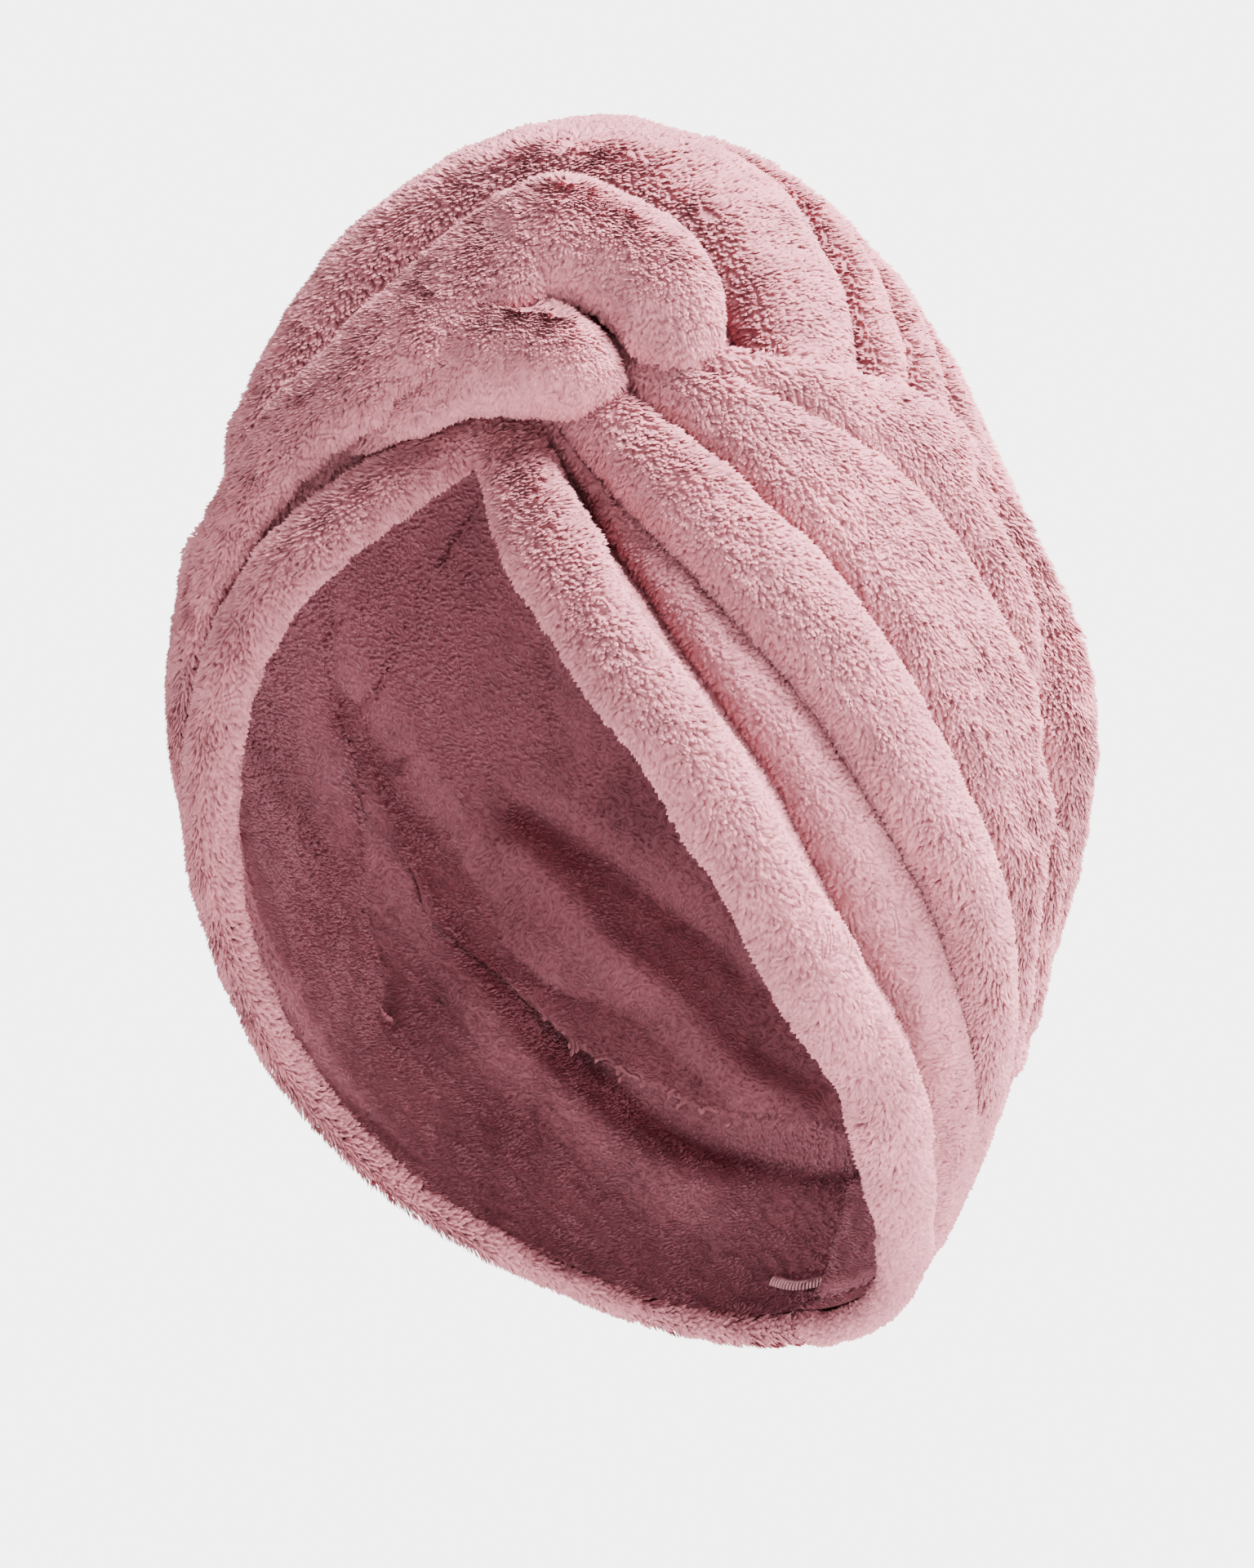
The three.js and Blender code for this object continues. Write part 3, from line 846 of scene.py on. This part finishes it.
# %% Inner faces
INNER_SUNK, INNER_DEEPER, WALL = 6.4, 3.5, 1.6  # millimetres
INNER_DROP, INNER_SPREAD = 0.3, -1.5  # inside, a ridge stands the other way


def add_lining(piece, face, count, lock, seed):
    """Add an inner face with its pile to a piece."""
    piece.sheet(face[::2, ::2], inward=True)
    normal, down, _ = grid_frame(face)
    nap = nap_along(face, -normal, down, INNER_DROP, INNER_SPREAD)
    piece.add(*locks(face, -normal, nap, count, *lock, seed))


inner_piece = Cloth("crown_inside_plush")
outer, way, show, _ = crown_sheet(300, 150)
depth = cloth_radius(way) - INNER_SUNK - INNER_DEEPER * show + inner_relief(way)
face = way * np.minimum(depth, np.linalg.norm(outer, axis=-1) - WALL)[..., None]
add_lining(inner_piece, face, 50000, SHORT_LOCK, 70)
inner_piece.finish(inside, "crown")

for side, node, count in [(1, "near_wrap", 12000), (-1, "far_wrap", 28000)]:
    lining = Cloth(node + "_inside_plush")
    add_lining(lining, wrap_inside(side, 260, 80), count, SHORT_LOCK, 80 + side)
    lining.finish(inside, node)

# %% [markdown]
# ## The facing at the nape
# A patch is sewn inside the nape, on the near side of the back seam. It is a thin sheet about
# half a millimetre inside the wrap's lining, with its own short pile.

# %% Nape facing
FACING_DEEP = 34.0
FACING_FROM, FACING_TO = 7.6, 9.9  # rows of the rim table
ROW_LONG = 30  # millimetres, roughly


def facing_sheet(rows, columns, inside_face):
    """The face of the patch toward the wrap, or the one toward the head."""
    u, v = np.linspace(FACING_FROM, FACING_TO, rows), np.linspace(0, 1, columns)
    u, v = np.meshgrid(u, v, indexing="ij")
    start, stop = wrap_start(1, u), edge_way(1, u)
    arc = np.arccos(np.clip((start * stop).sum(-1), -1, 1)) * cloth_radius(start)
    way = between(start, stop, (0.4 * CLOTH + FACING_DEEP * v) / arc)
    radius = cloth_radius(way) - CLOTH - BACKING - 0.6
    edge = np.minimum(u - FACING_FROM, FACING_TO - u) * ROW_LONG
    edge = np.minimum(np.minimum(v, 1 - v) * FACING_DEEP, edge)
    thick = 0.6 * CLOTH * np.clip(edge / 2, 0.1, 1) ** 0.5
    return way * (radius - (thick if inside_face else 0))[..., None]


facing = Cloth("nape_facing_plush")
facing.sheet(facing_sheet(30, 20, False))
add_lining(facing, facing_sheet(120, 70, True), 5000, FACING_LOCK, 90)
facing.finish(inside, "nape_facing")

# %% [markdown]
# ## The overlock stitches
# Where the facing meets the seam inside the nape, a short ladder of thread shows. Each rung is
# a thin tube that crosses the seam and stands a little proud of the pile.

# %% Overlock stitches
STITCH_LINE = [[226.5, -4.5], [227, -1.5], [226.6, 2]]
RUNGS, RUNG_HALF, RUNG_SLANT = 17, 1.5, 0.5  # how many, and millimetres


def thread(path, radius=0.3, ring=6):
    """A thin round tube along a few points, as a grid."""
    along = unit(np.gradient(path, axis=0))
    first = unit(np.cross(along, unit(path)))
    second = np.cross(along, first)
    turn = np.linspace(0, 2 * np.pi, ring)
    ring_way = first[:, None] * np.cos(turn)[:, None] + second[:, None] * np.sin(turn)[:, None]
    return path[:, None] + radius * ring_way


stitches = Cloth("overlock_stitches")
seam = curve(STITCH_LINE, np.linspace(0, len(STITCH_LINE) - 1, RUNGS))
seam_way = direction(seam[:, 0], seam[:, 1])
seam_along = unit(np.gradient(seam_way, axis=0))
for way, along in zip(seam_way, seam_along):
    across = np.cross(along, way)
    step = np.linspace(-1, 1, 6)[:, None]
    lift = cloth_radius(way) - CLOTH - BACKING - 1.6 - 1.2 * np.cos(step * np.pi / 2)
    rung = thread(way * lift + across * RUNG_HALF * step + along * RUNG_SLANT * step)
    stitches.sheet(rung, centre=rung.mean((0, 1)))
stitches.finish(inside_thread, "rim_hem")

# %% [markdown]
# ## Floor, light and camera
# The towel was photographed from slightly below, from the wearer's left, against a pale studio
# wall. It hangs in the air, so the floor lies well below it. One soft light from the upper
# right models the folds, a second grazes them from the side, a weak one fills the left, and the
# sky lifts the shadows. The sky is brighter to the camera than to the towel. So the background
# is nearly white, as in the photo, and the folds aren't washed out.

# %% Studio
def simple_material(name, colour):
    made = bpy.data.materials.new(name)
    made.use_nodes = True
    nodes, links = made.node_tree.nodes, made.node_tree.links
    shader = nodes["Principled BSDF"]
    shader.inputs["Roughness"].default_value = 0.95
    shader.inputs["Base Color"].default_value = (*colour, 1)
    return made


def look(thing, target):
    """Turn a camera or a light so that it faces a point."""
    way = Vector(target) - thing.location
    thing.rotation_euler = way.to_track_quat("-Z", "Y").to_euler()


def soft_light(name, place, size, power):
    lamp = bpy.data.lights.new(name, "AREA")
    lamp.shape, lamp.size, lamp.energy = "DISK", size, power
    made = bpy.data.objects.new(name, lamp)
    bpy.context.scene.collection.objects.link(made)
    made.location = place
    look(made, (0, 0, 0.02))


CAMERA_AWAY = 1.3
target = Vector((-0.00224, -0.00402, 0.02275))
azimuth, elevation = math.radians(30), math.radians(-12)
level = math.cos(elevation)
back = Vector((math.sin(azimuth) * level, -math.cos(azimuth) * level, math.sin(elevation)))
lens = bpy.data.cameras.new("camera")
lens.sensor_fit, lens.sensor_height, lens.lens = "VERTICAL", 36, 134.06
lens.dof.use_dof = False
camera = bpy.data.objects.new("camera", lens)
camera.location = target + CAMERA_AWAY * back
look(camera, target)
bpy.context.scene.collection.objects.link(camera)
bpy.context.scene.camera = camera

soft_light("key", (1.1, -0.1, 1.45), 0.8, 165)
soft_light("side", (1.35, 0.7, 0.05), 1.0, 38)
soft_light("fill", (-0.9, -1.5, 0.1), 1.4, 10)
sky = bpy.data.worlds.new("studio")
sky.use_nodes = True
dim = sky.node_tree.nodes["Background"]
dim.inputs["Color"].default_value = (1, 0.985, 0.98, 1)
dim.inputs["Strength"].default_value = 0.52
wall = sky.node_tree.nodes.new("ShaderNodeBackground")
wall.inputs["Color"].default_value = (1, 1, 0.995, 1)
wall.inputs["Strength"].default_value = 5.4
ray = sky.node_tree.nodes.new("ShaderNodeLightPath")
choose = sky.node_tree.nodes.new("ShaderNodeMixShader")
join = sky.node_tree.links.new
join(ray.outputs["Is Camera Ray"], choose.inputs[0])
join(dim.outputs[0], choose.inputs[1])
join(wall.outputs[0], choose.inputs[2])
join(choose.outputs[0], sky.node_tree.nodes["World Output"].inputs["Surface"])
bpy.context.scene.world = sky

bpy.ops.mesh.primitive_circle_add(vertices=96, radius=6, fill_type="NGON", location=(0, 0, -0.6))
floor = bpy.context.object
floor.name = "floor"
floor.data.materials.append(simple_material("floor_paint", (0.86, 0.86, 0.86)))
floor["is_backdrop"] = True
print("camera at", [round(x, 3) for x in camera.location])

# %% [markdown]
# ## Does it stay in its place?
# A softer, fuller shape must still be the same size as the measured one. We compare the two
# boxes and print how far their corners differ.

# %% Compare the boxes and finish
visual_box = [[float(x) for x in corner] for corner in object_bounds()]
for side, cad, seen in zip(("lowest", "highest"), cad_box, visual_box):
    print(side, "corner, the difference in mm:", [round(1000 * (s - c), 1) for c, s in zip(cad, seen)])
